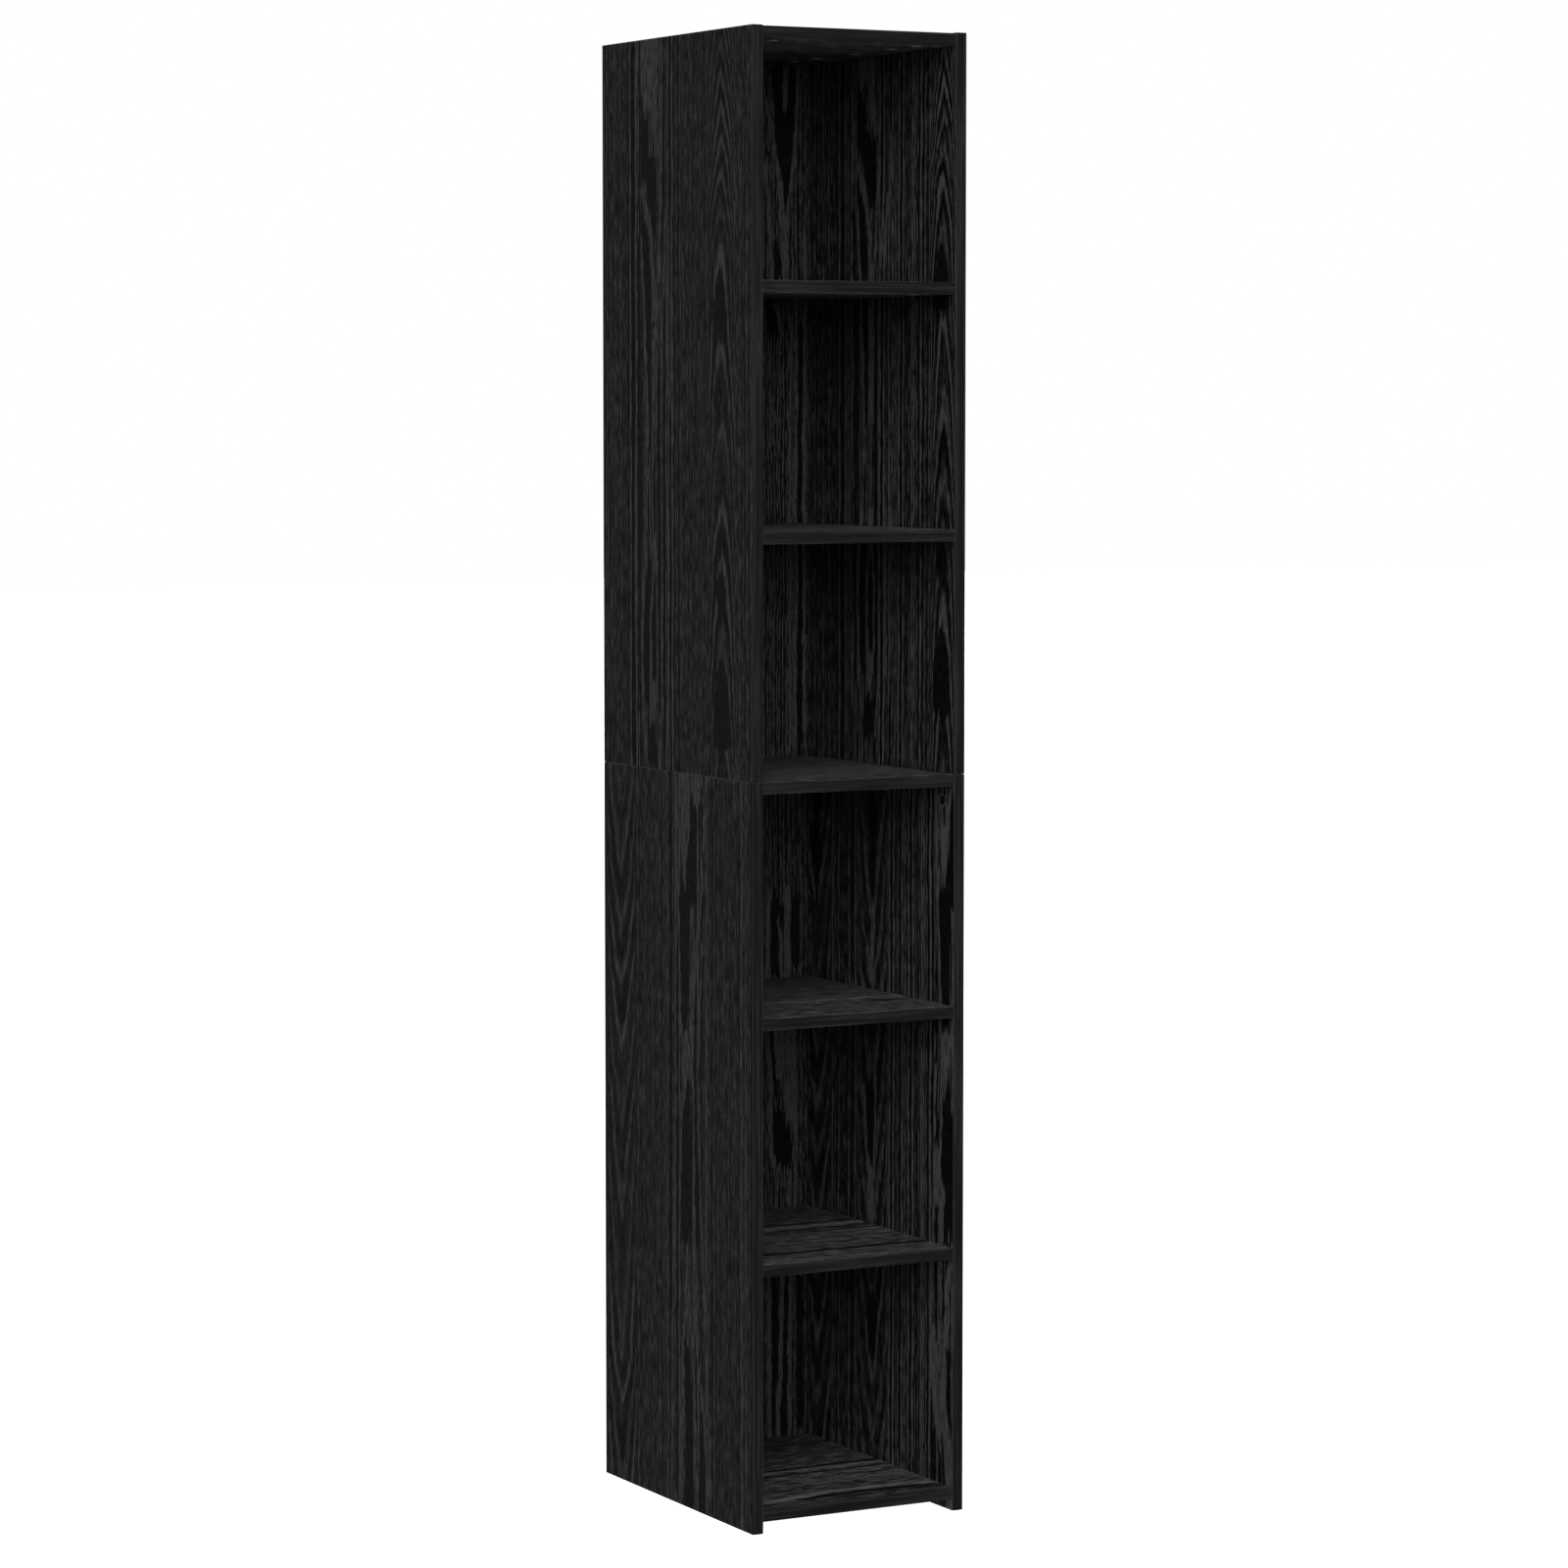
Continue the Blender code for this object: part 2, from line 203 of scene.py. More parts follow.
def black_oak(node, seed, along, arches=(), light=(), dark=(), lined=((0, 0.3), (0.41, 0.3)),
              stripes=((0, 0.5), (0.41, 0.5)), across="y", shade=1.0, contrast=1.0, lines=180.0, fineness=1.0, gloss=0.15,
              outer=None, inner_at=None, raw_rear=False, seam=None, edge_shade=0.18, under_shade=None,
              bores=()):
    """Decor of black-stained oak on one board.

    along: the axis that the grain runs along. across: the axis across it on the large faces, measured from the front
    or, for a back panel, from the left. arches: nested arches or vees. light, dark: shapes of the figure. lined:
    (distance across, share) of straight lines in the plain wood. stripes: (distance across, tone). lines: how many
    straight lines a metre. fineness: how much narrower the dashes are than on the sides. gloss: the specular level.
    outer: the x of the outside face, which is duller and, as painted shade, darker. inner_at: the x of the large face
    whose figure is laid out, so that the other face gets a shifted one. shade, edge_shade, under_shade: painted light
    and shade, how much lighter or darker the faces, the front edge and the underside are painted for the light that
    falls on them. bores: (y, z) of the bores in a side's inner face, round which a light ring is painted."""
    g = Graph(node + "_black_oak")
    low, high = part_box(node)
    v = {"x": g.x, "z": g.z}[along]
    if across == "y":
        u = g.sub(g.y, FRONT)
        deep = g.sub(g.x, inner_at) if inner_at is not None else g.sub(g.z, low[2])
        deep = g.math("ABSOLUTE", deep)
        u = g.fma(deep, 1.2, u)
    else:
        u = g.add(g.x, 0.150)
        deep = g.sub(g.y, low[1])

    # The fibres run a little wavy, and each of them ends the figure's shapes at a height of its own.
    slow = g.grain(u, v, deep, seed, 3.0, 4.5, 1.0)
    fine = g.grain(u, v, deep, seed + 3, 26.0, 17.0, 2.0)
    uw = g.fma(g.sub(slow, 0.5), 0.006, g.fma(g.sub(fine, 0.5), 0.0045, u))
    torn = g.grain(uw, v, deep, seed + 31, 300.0, 6.0, 1.0)
    vj = g.fma(g.sub(torn, 0.5), 0.050, v)

    # Plain wood: short dashes and longer streaks, with straight lines between them where the wood is lined
    dash = g.step(g.grain(uw, v, deep, seed + 17, 330.0 * fineness, 38.0, 1.0), 0.38, 0.62)
    streak = g.step(g.grain(uw, v, deep, seed + 19, 230.0 * fineness, 7.0, 1.0), 0.39, 0.61)
    grit = g.step(g.grain(uw, v, deep, seed + 29, 520.0, 90.0, 1.0), 0.38, 0.62)
    level = g.grain(uw, v, deep, seed + 23, 26.0, 2.6, 1.0)
    line = g.step(g.line(g.fma(g.sub(dash, 0.5), 0.0010, uw), seed + 11, lines, 1.0), 0.40, 0.60)
    faint = g.grain(uw, v, deep, seed + 13, 60.0, 5.0, 1.0)
    tone = g.fma(g.sub(dash, 0.5), 0.80, 0.47)
    tone = g.fma(g.sub(streak, 0.5), 0.38, tone)
    straight = g.fma(g.sub(line, 0.5), g.fma(faint, 0.9, 0.75), 0.45)
    straight = g.fma(g.sub(dash, 0.5), 0.42, straight)
    share = g.curve(u, list(lined))
    tone = g.mix(share, tone, straight)
    tone = g.fma(g.sub(level, 0.5), 0.26 if outer is None else 0.13, tone)
    tone = g.add(tone, g.curve(u, [(place, value - 0.5) for place, value in stripes]))
    dull_and_painted_shade = None
    if outer is not None:
        # The outside face: rougher, lower in contrast, and further down painted darker than the inside face of the same
        # decor (painted shade).
        dull_and_painted_shade = g.step(g.math("ABSOLUTE", g.sub(g.x, outer)), 0.0010, 0.0020, 1.0, 0.0)
        tone = g.mix(dull_and_painted_shade, tone, g.fma(g.sub(tone, 0.47), g.fma(share, 0.42, 0.60), 0.49))

    # Nested arches or vees
    for number, heart in enumerate(arches):
        off = g.sub(uw, g.curve(v, heart["centre"]))
        wide = g.math("SQRT", g.fma(off, off, 0.0015 ** 2))
        cube = g.mul(g.mul(wide, wide), wide)
        ring = g.fma(wide, g.curve(v, heart["slope"]), g.mul(cube, heart.get("spread", 460.0)))
        ring = g.add(ring, g.curve(g.fma(g.sub(torn, 0.5), 0.020, v), heart["rows"]))
        ring = g.fma(g.sub(fine, 0.5), 0.0040, ring)
        rings = g.fma(g.math("COSINE", g.mul(ring, 2 * math.pi / 0.008)), 0.5, 0.5)
        rings = g.math("POWER", rings, 1.5)
        strong = g.step(g.line(ring, seed + 47 + number, 75.0, 1.0), 0.35, 0.65, 0.55, 1.25)
        mark = g.fma(g.mul(g.sub(rings, 0.38), strong), heart.get("rings", 0.80), 0.45)
        vein = g.step(g.line(ring, seed + 59 + number, 420.0, 1.0), 0.38, 0.62)
        mark = g.fma(g.sub(vein, 0.5), 0.24, mark)
        mark = g.fma(g.sub(dash, 0.5), 0.34, mark)
        mark = g.fma(g.sub(streak, 0.5), 0.14, mark)
        window = g.step(wide, heart["reach"] * 0.72, heart["reach"], 1.0, 0.0)
        tone = g.mix(window, tone, mark)

    # Light and dark shapes of the figure, with ragged ends
    jagged = g.fma(g.sub(dash, 0.5), 0.0016, uw)
    for figures, value, fleck, edge in ((dark, 0.17 if along == "z" else 0.06, 0.10, 0.0006), (light, 0.90, 0.36, 0.0002)):
        if figures:
            mask = g.step(shapes(g, jagged, vj, figures), edge - 0.0020, edge)
            tone = g.mix(mask, tone, g.fma(g.sub(dash, 0.5), fleck, value))

    # Finer dashes, and dark pores
    tone = g.fma(g.sub(grit, 0.5), 0.26, tone)
    pore = g.step(g.grain(uw, v, deep, seed + 67, 1500.0, 30.0, 1.0), 0.58, 0.70)
    tone = g.fma(pore, -0.14, tone)
    tone = g.fma(g.sub(tone, 0.5), contrast, 0.5)
    if outer is not None:
        tone = g.mix(dull_and_painted_shade, tone, g.fma(g.sub(tone, 0.5), 0.82, 0.53))

    # Edge banding on the front edge: its lines run along the edge, and its joint is a fine dark line
    if across == "y":
        thick = g.sub(g.x, low[0]) if along == "z" else g.sub(g.z, low[2])
        band_lines = g.step(g.grain(thick, v, g.y, seed + 71, 280.0, 6.0, 1.0), 0.37, 0.63)
        band_fine = g.grain(thick, v, g.y, seed + 73, 1300.0, 30.0, 1.0)
        band = g.fma(g.sub(band_lines, 0.5), 0.60, 0.5)
        band = g.fma(g.sub(band_fine, 0.5), 0.90, band)
        front = g.step(g.sub(g.y, FRONT), 0.0002, 0.0007, 1.0, 0.0)
        tone = g.mix(front, tone, band)
        joint = g.step(g.math("ABSOLUTE", g.sub(g.sub(g.y, FRONT), 0.0012)), 0.00008, 0.00022, 1.0, 0.0)
        tone = g.fma(joint, -0.22, tone)
    else:
        front = None

    # Painted highlight: the board is lighter near every edge, more in some places than others
    edge = g.edge_distance(low, high)
    near = g.step(edge, 0.0003, 0.0011, 1.0, 0.0)
    light_edge_noise = g.grain(g.x, g.y, g.z, seed + 83, 120.0, 120.0, 2.0)
    tone = g.fma(g.mul(near, g.step(light_edge_noise, 0.2, 0.7, 0.5, 1.0)), 0.30, tone)
    # Painted highlight along the seam between the two modules: the sides are lighter near it.
    if seam is not None:
        joint = g.step(g.math("ABSOLUTE", g.sub(g.z, seam)), 0.0006, 0.0016, 1.0, 0.0)
        tone = g.fma(joint, 0.25, tone)
    tone = g.math("MINIMUM", g.most(tone, 0.0), 1.0)

    def tones(by):
        return g.ramp(tone, [(at, value * by) for at, value in TONES])

    # Painted light and shade: shade makes the whole piece lighter or darker for the light that falls on it, lighter for
    # the boards' tops and darker for the back panels and the right sides.
    colour = tones(shade)
    # Painted shade on the outside face: its colour is darker than the inside face's.
    if dull_and_painted_shade is not None:
        colour = g.blend(dull_and_painted_shade, colour, tones(0.62))
    # Painted light on the underside: it is lighter, as if lit from below.
    if under_shade is not None:
        under = g.step(g.sub(g.z, low[2]), 0.0008, 0.0012, 1.0, 0.0)
        colour = g.blend(under, colour, tones(under_shade))
    if front is not None:
        # Painted shade on the front edge: its colour is darker.
        colour = g.blend(front, colour, tones(edge_shade))
        # Painted highlight on the vertical arrises of the front edge.
        if along == "z":
            arris = g.mul(g.step(edge, 0.0002, 0.0012, 1.0, 0.0), g.step(g.sub(g.y, FRONT), 0.0010, 0.0018, 1.0, 0.0))
            colour = g.blend(arris, colour, g.ramp(light_edge_noise, [(0.25, 0.007), (0.75, 0.015)]))
    # A light ring painted round each bore.
    for y, z in bores:
        dy, dz = g.sub(g.y, y), g.sub(g.z, z)
        away = g.math("SQRT", g.fma(dy, dy, g.mul(dz, dz)))
        rim = g.step(g.math("ABSOLUTE", g.sub(away, 0.0081)), 0.0003, 0.0007, 1.0, 0.0)
        inner = g.step(g.math("ABSOLUTE", g.sub(g.x, low[0] if low[0] > 0 else high[0])), 0.0010, 0.0014, 1.0, 0.0)
        colour = g.blend(g.mul(rim, inner), colour, g.ramp(light_edge_noise, [(0.25, 0.045), (0.75, 0.100)]))
    rough = g.fma(pore, 0.10, g.fma(g.sub(slow, 0.5), 0.10, 0.56))
    if dull_and_painted_shade is not None:
        rough = g.mix(dull_and_painted_shade, rough, g.add(rough, 0.30))
    if across == "y" and high[2] > 1.84:
        crown = g.step(g.sub(high[2], g.z), 0.0002, 0.0006, 1.0, 0.0)
        rough = g.mix(crown, rough, g.fma(g.sub(fine, 0.5), 0.1, 0.95))
    if raw_rear:
        colour, rough = rear(g, seed, high[1], colour, rough, across == "x")
    g.colour(colour)
    g.rough(rough)
    g.shader.inputs["Specular IOR Level"].default_value = gloss
    height = g.fma(pore, -1.0, g.mul(tone, 0.6))
    g.bump(height, 0.2, 0.0001)
    return g.material


def rear(g, seed, face, colour, rough, hardboard):
    """Plain board on the rear: brown hardboard for a back panel, raw particle board for a board's rear edge."""
    mask = g.step(g.sub(face, g.y), 0.00002, 0.00012, 1.0, 0.0)
    if hardboard:
        fibre = g.grain(g.x, g.z, g.y, seed + 5, 700.0, 500.0, 4.0, 0.7)
        cloud = g.grain(g.x, g.z, g.y, seed + 7, 14.0, 11.0, 3.0)
        value = g.fma(g.sub(fibre, 0.5), 1.2, g.fma(g.sub(cloud, 0.5), 0.6, 0.5))
        raw = g.ramp(value, [(0.0, (0.095, 0.052, 0.026)), (0.5, (0.165, 0.092, 0.046)), (1.0, (0.26, 0.155, 0.082))])
    else:
        chip = g.grain(g.x, g.z, g.y, seed + 5, 330.0, 1100.0, 3.0, 0.7)
        dust = g.grain(g.x, g.z, g.y, seed + 7, 1600.0, 1900.0, 2.0)
        value = g.fma(g.sub(chip, 0.5), 1.8, g.fma(g.sub(dust, 0.5), 0.7, 0.5))
        raw = g.ramp(value, [(0.0, (0.13, 0.075, 0.035)), (0.45, (0.36, 0.24, 0.13)), (1.0, (0.62, 0.47, 0.29))])
    return g.blend(mask, colour, raw), g.mix(mask, rough, 0.85)


# The decor's figures, in metres: height, distance from the front and half width of a shape. The same sheet of decor is
# on both sides of a module, and on the right one it sits a little further forward and higher.
def rows(apexes, up):
    """Ring depths that put an arch's apex at each height, or a vee's with up False."""
    step = 0.008 if up else -0.008
    order = sorted(apexes, reverse=True)
    return sorted((z, -step * n) for n, z in enumerate(order))


UPPER_LIGHT = [
    [(1.702, 0.253, 0.0015), (1.72, 0.258, 0.006), (1.76, 0.262, 0.008), (1.80, 0.267, 0.013), (1.88, 0.270, 0.015)],
    [(1.755, 0.287, 0.005), (1.785, 0.286, 0.011), (1.88, 0.288, 0.013)],
    [(1.33, 0.2590, 0.0018), (1.42, 0.2590, 0.0022), (1.48, 0.2600, 0.0022), (1.51, 0.262, 0.0035), (1.56, 0.266, 0.0030),
     (1.60, 0.274, 0.0042), (1.63, 0.283, 0.0055), (1.65, 0.292, 0.0040), (1.665, 0.299, 0.0020)],
    [(1.33, 0.2675, 0.0022), (1.42, 0.2675, 0.0028), (1.485, 0.2665, 0.0030)],
    [(1.32, 0.2825, 0.0022), (1.36, 0.2830, 0.0028), (1.42, 0.2860, 0.0026), (1.50, 0.2910, 0.0024), (1.60, 0.299, 0.0018)],
    [(0.965, 0.2905, 0.002), (1.00, 0.2960, 0.0022), (1.10, 0.2985, 0.0024), (1.17, 0.2970, 0.0024), (1.22, 0.289, 0.0018),
     (1.27, 0.284, 0.0018), (1.31, 0.2815, 0.002)],
    [(0.93, 0.252, 0.0018), (1.00, 0.2445, 0.0018), (1.10, 0.2425, 0.0016), (1.30, 0.2450, 0.0014), (1.46, 0.2445, 0.0018),
     (1.56, 0.2370, 0.0018), (1.64, 0.230, 0.0015)],
    [(1.50, 0.2585, 0.0018), (1.55, 0.2530, 0.0022), (1.60, 0.2490, 0.0018), (1.68, 0.2420, 0.0014), (1.85, 0.240, 0.0014)],
    [(0.94, 0.233, 0.0016), (1.04, 0.226, 0.0016), (1.18, 0.2262, 0.0016), (1.36, 0.232, 0.0015), (1.54, 0.228, 0.0016), (1.62, 0.221, 0.0014)],
    [(0.98, 0.216, 0.0014), (1.18, 0.2135, 0.0014), (1.45, 0.218, 0.0015), (1.56, 0.2165, 0.0014), (1.70, 0.212, 0.0014)],
    [(1.025, 0.2590, 0.002), (1.06, 0.2557, 0.0016), (1.12, 0.2555, 0.0016), (1.18, 0.2585, 0.0018)],
    [(1.025, 0.2705, 0.002), (1.06, 0.2738, 0.0016), (1.12, 0.2738, 0.0016), (1.17, 0.2690, 0.0018)],
    [(0.995, 0.267, 0.004), (1.01, 0.267, 0.007), (1.035, 0.266, 0.008)],
    [(1.18, 0.2635, 0.0055), (1.225, 0.2635, 0.006)],
    [(0.96, 0.313, 0.0014), (1.20, 0.3185, 0.0016), (1.40, 0.3145, 0.0016), (1.60, 0.316, 0.0016), (1.66, 0.3125, 0.0016),
     (1.76, 0.3135, 0.0016), (1.84, 0.3095, 0.0014)],
]
UPPER_DARK = [
    [(1.605, 0.263, 0.003), (1.62, 0.2635, 0.007), (1.655, 0.268, 0.013), (1.69, 0.278, 0.021), (1.70, 0.282, 0.019),
     (1.705, 0.289, 0.012), (1.75, 0.290, 0.011)],
    [(1.34, 0.277, 0.003), (1.42, 0.2785, 0.0045), (1.50, 0.281, 0.0070), (1.57, 0.284, 0.0100), (1.62, 0.292, 0.007)],
    [(1.00, 0.3045, 0.0028), (1.30, 0.3045, 0.0040), (1.60, 0.3065, 0.0030)],
    [(1.00, 0.2500, 0.0035), (1.20, 0.2500, 0.0040), (1.45, 0.2520, 0.0035)],
    [(1.04, 0.264, 0.0050), (1.10, 0.2647, 0.0065), (1.16, 0.2635, 0.0045)],
    [(1.02, 0.286, 0.0065), (1.12, 0.286, 0.0080), (1.20, 0.279, 0.0050)],
    [(0.935, 0.270, 0.014), (0.96, 0.270, 0.012), (0.985, 0.270, 0.006)],
    [(1.475, 0.085, 0.018), (1.50, 0.085, 0.020), (1.53, 0.085, 0.014), (1.555, 0.084, 0.005)],
    [(1.150, 0.083, 0.014), (1.170, 0.083, 0.012), (1.190, 0.083, 0.004)],
    [(0.970, 0.083, 0.018), (1.02, 0.083, 0.020), (1.05, 0.083, 0.016), (1.075, 0.083, 0.005)],
]
UPPER_ARCHES = dict(
    centre=[(0.90, 0.080), (1.10, 0.080), (1.37, 0.080), (1.48, 0.085), (1.585, 0.083), (1.64, 0.085), (1.69, 0.080), (1.85, 0.085)],
    slope=[(0.90, 0.22), (1.55, 0.24), (1.66, 0.45), (1.85, 0.50)], reach=0.040,
    rows=rows((1.87, 1.835, 1.80, 1.76, 1.72, 1.68, 1.64, 1.585, 1.475, 1.37, 1.27, 1.20, 1.105, 1.00, 0.90), True))
LOWER_LIGHT = [
    [(0.79, 0.183, 0.0015), (0.82, 0.184, 0.006), (0.85, 0.183, 0.011), (0.88, 0.180, 0.012), (0.94, 0.184, 0.013)],
    [(0.90, 0.150, 0.010), (0.94, 0.150, 0.017)],
    [(0.60, 0.1925, 0.0020), (0.64, 0.1955, 0.0022), (0.72, 0.1995, 0.0022), (0.80, 0.2030, 0.0020), (0.94, 0.205, 0.0018)],
    [(0.60, 0.166, 0.0030), (0.64, 0.163, 0.0040), (0.67, 0.159, 0.0060), (0.70, 0.155, 0.0065), (0.72, 0.150, 0.0045),
     (0.75, 0.143, 0.0030), (0.82, 0.136, 0.0028), (0.90, 0.126, 0.0024), (0.94, 0.122, 0.002)],
    [(0.735, 0.164, 0.003), (0.76, 0.164, 0.004)],
    [(0.53, 0.183, 0.002), (0.545, 0.183, 0.006), (0.56, 0.181, 0.007), (0.575, 0.180, 0.010), (0.60, 0.180, 0.011)],
    [(0.0, 0.120, 0.0020), (0.08, 0.126, 0.0022), (0.12, 0.131, 0.0026), (0.16, 0.140, 0.0036), (0.20, 0.148, 0.0030),
     (0.24, 0.152, 0.0028), (0.31, 0.154, 0.0022), (0.44, 0.157, 0.0018), (0.52, 0.1585, 0.0022), (0.60, 0.165, 0.0024)],
    [(0.0, 0.112, 0.0016), (0.10, 0.118, 0.0018), (0.20, 0.123, 0.0018), (0.24, 0.127, 0.0018), (0.36, 0.136, 0.0018),
     (0.46, 0.143, 0.0018), (0.56, 0.1465, 0.0018), (0.62, 0.144, 0.0016), (0.72, 0.136, 0.0016)],
    [(0.0, 0.2005, 0.0014), (0.30, 0.1970, 0.0016), (0.36, 0.1955, 0.0016), (0.46, 0.193, 0.0020), (0.535, 0.190, 0.0022)],
    [(0.0, 0.221, 0.0015), (0.14, 0.2185, 0.0016), (0.22, 0.2170, 0.0016), (0.38, 0.2110, 0.0016), (0.46, 0.209, 0.0016), (0.56, 0.206, 0.0016)],
    [(0.25, 0.176, 0.0060), (0.28, 0.176, 0.0058), (0.325, 0.176, 0.0030)],
    [(0.0, 0.150, 0.0020), (0.06, 0.155, 0.0022), (0.18, 0.158, 0.0025), (0.21, 0.161, 0.0030), (0.23, 0.166, 0.0030), (0.25, 0.170, 0.0030)],
    [(0.0, 0.193, 0.0026), (0.06, 0.192, 0.0028), (0.18, 0.190, 0.0030), (0.22, 0.186, 0.0030), (0.25, 0.181, 0.0030)],
]
LOWER_DARK = [
    [(0.605, 0.184, 0.002), (0.62, 0.184, 0.009), (0.66, 0.184, 0.012), (0.72, 0.186, 0.014), (0.76, 0.181, 0.017),
     (0.785, 0.174, 0.023), (0.80, 0.166, 0.015), (0.86, 0.160, 0.010), (0.91, 0.159, 0.009)],
    [(0.335, 0.180, 0.003), (0.36, 0.180, 0.012), (0.44, 0.180, 0.012), (0.50, 0.178, 0.009), (0.535, 0.172, 0.004)],
    [(0.34, 0.1655, 0.0040), (0.50, 0.1640, 0.0035)],
    [(0.02, 0.2060, 0.0030), (0.50, 0.2010, 0.0035)],
    [(0.0, 0.137, 0.010), (0.05, 0.137, 0.008), (0.10, 0.139, 0.004)],
    [(0.0, 0.172, 0.013), (0.10, 0.173, 0.010), (0.20, 0.175, 0.006)],
    [(0.30, 0.1440, 0.0035), (0.50, 0.1520, 0.0035), (0.60, 0.154, 0.004)],
]
VEES = dict(slope=[(0.0, 0.28), (0.93, 0.28)], spread=60.0, reach=0.044)


def moved(figures, across, up=0.0):
    return [[(z + up, y + across, width) for z, y, width in figure] for figure in figures]


def moved_arches(heart, across, up=0.0):
    return dict(
        heart, centre=[(z + up, y + across) for z, y in heart["centre"]], slope=[(z + up, s) for z, s in heart["slope"]],
        rows=[(z + up, r) for z, r in heart["rows"]])


SEAM_BORES = tuple((FRONT + y, 0.898) for y in (0.030, 0.345))


def skin(node, material):
    obj = nodes[node]
    obj.data.materials.clear()
    obj.data.materials.append(material)


skin("upper_side_left", black_oak(
    "upper_side_left", 2, "z", inner_at=-0.150, seam=0.932, outer=-0.150, light=UPPER_LIGHT, dark=UPPER_DARK,
    lined=((0, 0.3), (0.03, 0.5), (0.10, 0.5), (0.125, 0.15), (0.185, 0.15), (0.20, 0.95), (0.33, 0.95), (0.345, 0.3), (0.41, 0.3)),
    stripes=((0, 0.5), (0.195, 0.5), (0.205, 0.38), (0.255, 0.40), (0.27, 0.5), (0.30, 0.5), (0.305, 0.40), (0.33, 0.40), (0.34, 0.5), (0.41, 0.5)),
    arches=[dict(UPPER_ARCHES, slope=[(0.90, 0.17), (1.55, 0.19), (1.66, 0.40), (1.85, 0.46)], spread=300.0, rings=0.70)]))
skin("lower_side_left", black_oak(
    "lower_side_left", 5, "z", inner_at=-0.150, seam=0.932, bores=SEAM_BORES, outer=-0.150, light=LOWER_LIGHT, dark=LOWER_DARK,
    lined=((0, 0.9), (0.03, 0.9), (0.04, 0.2), (0.10, 0.3), (0.12, 0.9), (0.24, 0.9), (0.26, 0.2), (0.31, 0.2), (0.33, 0.8), (0.41, 0.8)),
    stripes=((0, 0.5), (0.10, 0.5), (0.11, 0.42), (0.135, 0.42), (0.15, 0.5), (0.195, 0.5), (0.205, 0.42), (0.24, 0.42), (0.25, 0.5), (0.41, 0.5)),
    arches=[dict(VEES, centre=[(0.0, 0.362), (0.93, 0.360)], rings=0.64,
                 rows=rows((0.97, 0.885, 0.795, 0.715, 0.645, 0.555, 0.475, 0.35, 0.17, 0.10, -0.02), False))]))
# The right sides are painted darker than the left ones (shade 0.84 and 0.86): painted shade.
skin("upper_side_right", black_oak(
    "upper_side_right", 8, "z", inner_at=0.135, seam=0.932, outer=0.150, shade=0.84, contrast=1.2,
    light=moved(UPPER_LIGHT, -0.050, 0.035), dark=moved(UPPER_DARK, -0.050, 0.035),
    lined=((0, 0.6), (0.13, 0.65), (0.145, 0.95), (0.29, 0.95), (0.31, 0.5), (0.41, 0.5)),
    stripes=((0, 0.5), (0.145, 0.5), (0.155, 0.42), (0.205, 0.42), (0.22, 0.5), (0.25, 0.5), (0.255, 0.42), (0.28, 0.42), (0.29, 0.5), (0.41, 0.5)),
    arches=[moved_arches(UPPER_ARCHES, -0.052, 0.035)]))
skin("lower_side_right", black_oak(
    "lower_side_right", 13, "z", inner_at=0.135, seam=0.932, bores=SEAM_BORES, outer=0.150, shade=0.86, contrast=1.2,
    light=moved(LOWER_LIGHT[1:-3], -0.161) + [
        [(0.79, 0.022, 0.002), (0.82, 0.023, 0.006), (0.85, 0.024, 0.009), (0.866, 0.0275, 0.0050), (0.88, 0.0290, 0.0045),
         (0.889, 0.030, 0.0035)],
        [(0.84, 0.017, 0.004), (0.868, 0.015, 0.0035), (0.882, 0.013, 0.0030), (0.893, 0.0105, 0.0033), (0.915, 0.010, 0.0033)],
        [(0.33, 0.028, 0.004), (0.36, 0.029, 0.0050), (0.395, 0.027, 0.006), (0.41, 0.026, 0.003)],
        [(0.385, 0.044, 0.003), (0.42, 0.041, 0.008), (0.455, 0.041, 0.006)],
        [(0.0, 0.006, 0.012), (0.08, 0.010, 0.011), (0.12, 0.022, 0.006), (0.18, 0.022, 0.005), (0.24, 0.017, 0.005), (0.31, 0.010, 0.004)],
        [(0.09, 0.035, 0.004), (0.13, 0.043, 0.007), (0.20, 0.051, 0.009), (0.225, 0.050, 0.006)],
        [(0.40, 0.2035, 0.0018), (0.45, 0.2010, 0.0018), (0.52, 0.199, 0.0014)],
        [(0.34, 0.2110, 0.0070), (0.39, 0.2115, 0.0080), (0.41, 0.2115, 0.0060)],
        [(0.41, 0.2200, 0.0022), (0.44, 0.2240, 0.0022), (0.52, 0.231, 0.0016)],
        [(0.66, 0.2130, 0.0040), (0.70, 0.2080, 0.0050), (0.75, 0.2055, 0.0030)],
    ],
    dark=moved(LOWER_DARK[:-1], -0.161) + [
        [(0.74, 0.2060, 0.002), (0.80, 0.2070, 0.006), (0.90, 0.2090, 0.009)],
        [(0.41, 0.2100, 0.004), (0.46, 0.2120, 0.010), (0.52, 0.2120, 0.007)],
        [(0.15, 0.2050, 0.004), (0.20, 0.2100, 0.012), (0.24, 0.2100, 0.008)],
        [(0.73, 0.3580, 0.003), (0.80, 0.3580, 0.006), (0.90, 0.3580, 0.012)],
        [(0.0, 0.044, 0.016), (0.06, 0.044, 0.014), (0.09, 0.046, 0.008)],
    ],
    lined=((0, 0.8), (0.25, 0.8), (0.27, 0.55), (0.31, 0.6), (0.33, 0.9), (0.41, 0.9)),
    arches=[
        dict(VEES, centre=[(0.0, 0.205), (0.41, 0.211), (0.93, 0.207)], rings=0.48,
             rows=rows((0.97, 0.86, 0.735, 0.64, 0.50, 0.41, 0.33, 0.24, 0.125, 0.055, -0.04), False)),
        dict(VEES, centre=[(0.0, 0.356), (0.93, 0.358)], rings=0.60,
             rows=rows((0.98, 0.90, 0.82, 0.73, 0.62, 0.54, 0.46, 0.40, 0.31, 0.24, 0.15, 0.07, -0.03), False)),
    ]))
